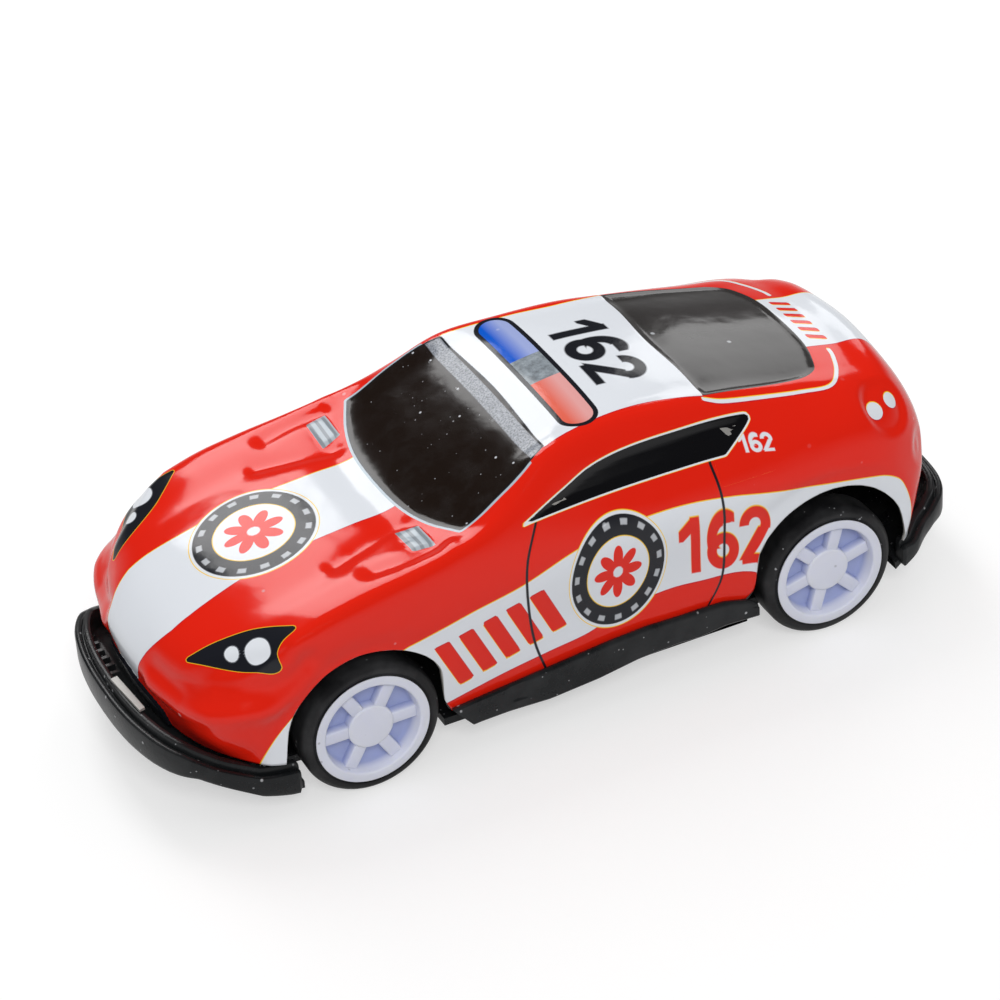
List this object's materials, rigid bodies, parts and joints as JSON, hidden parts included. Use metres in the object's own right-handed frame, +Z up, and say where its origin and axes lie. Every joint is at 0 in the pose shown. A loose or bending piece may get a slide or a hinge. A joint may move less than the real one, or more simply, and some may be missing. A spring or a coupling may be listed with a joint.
{
  "type": "pull back car",
  "caption": "Pull-back toy car: pressed tin body on a moulded chassis with bumpers, two axles with tyred wheels, and a spring motor geared to the rear axle.",
  "frame": {"origin": "centre of the bounding box in plan, on the ground that the tyres stand on", "axes": "+X to the nose, +Y to the car's left, +Z up"},
  "size_m": [0.1278, 0.0492, 0.0431],
  "materials": {
    "tin_red": "gloss printed lacquer on tin",
    "chassis_black": "satin moulded",
    "axle_steel": "bright drawn wire",
    "hub_white": "moulded",
    "tyre_black": "matt",
    "case_cream": "moulded",
    "gear_white": "moulded",
    "spring_steel": "blued"
  },
  "bodies": {
    "car_body": {"body_shell": "tin_red", "chassis": "chassis_black", "motor_case_left": "case_cream", "motor_case_right": "case_cream", "mainspring": "spring_steel", "compound_pin": "axle_steel", "spring_pin": "axle_steel", "motor_screws": "axle_steel"},
    "front_wheels": {"front_axle": "axle_steel", "front_left_hub": "hub_white", "front_right_hub": "hub_white", "front_left_tyre": "tyre_black", "front_right_tyre": "tyre_black"},
    "rear_wheels": {"rear_axle": "axle_steel", "axle_gear": "gear_white", "rear_left_hub": "hub_white", "rear_right_hub": "hub_white", "rear_left_tyre": "tyre_black", "rear_right_tyre": "tyre_black"},
    "compound_wheel": {"compound_gear": "gear_white"},
    "spring_wheel": {"spring_gear": "gear_white"}
  },
  "joints": [
    {"name": "front_axle_spin", "type": "hinge", "parent": "car_body", "child": "front_wheels", "pos_m": [0.03335, 0, 0.0104], "axis": [0, 1, 0], "continuous": true},
    {"name": "rear_axle_spin", "type": "hinge", "parent": "car_body", "child": "rear_wheels", "pos_m": [-0.03865, 0, 0.0104], "axis": [0, 1, 0], "continuous": true},
    {"name": "compound_spin", "type": "hinge", "parent": "car_body", "child": "compound_wheel", "pos_m": [-0.03214, 0, 0.01586], "axis": [0, 1, 0], "continuous": true},
    {"name": "spring_spin", "type": "hinge", "parent": "car_body", "child": "spring_wheel", "pos_m": [-0.02114, 0, 0.01586], "axis": [0, 1, 0], "continuous": true}
  ],
  "couplings": [
    {"joint": "compound_spin", "follows": "rear_axle_spin", "ratio": -0.41667},
    {"joint": "spring_spin", "follows": "rear_axle_spin", "ratio": 0.12255}
  ]
}
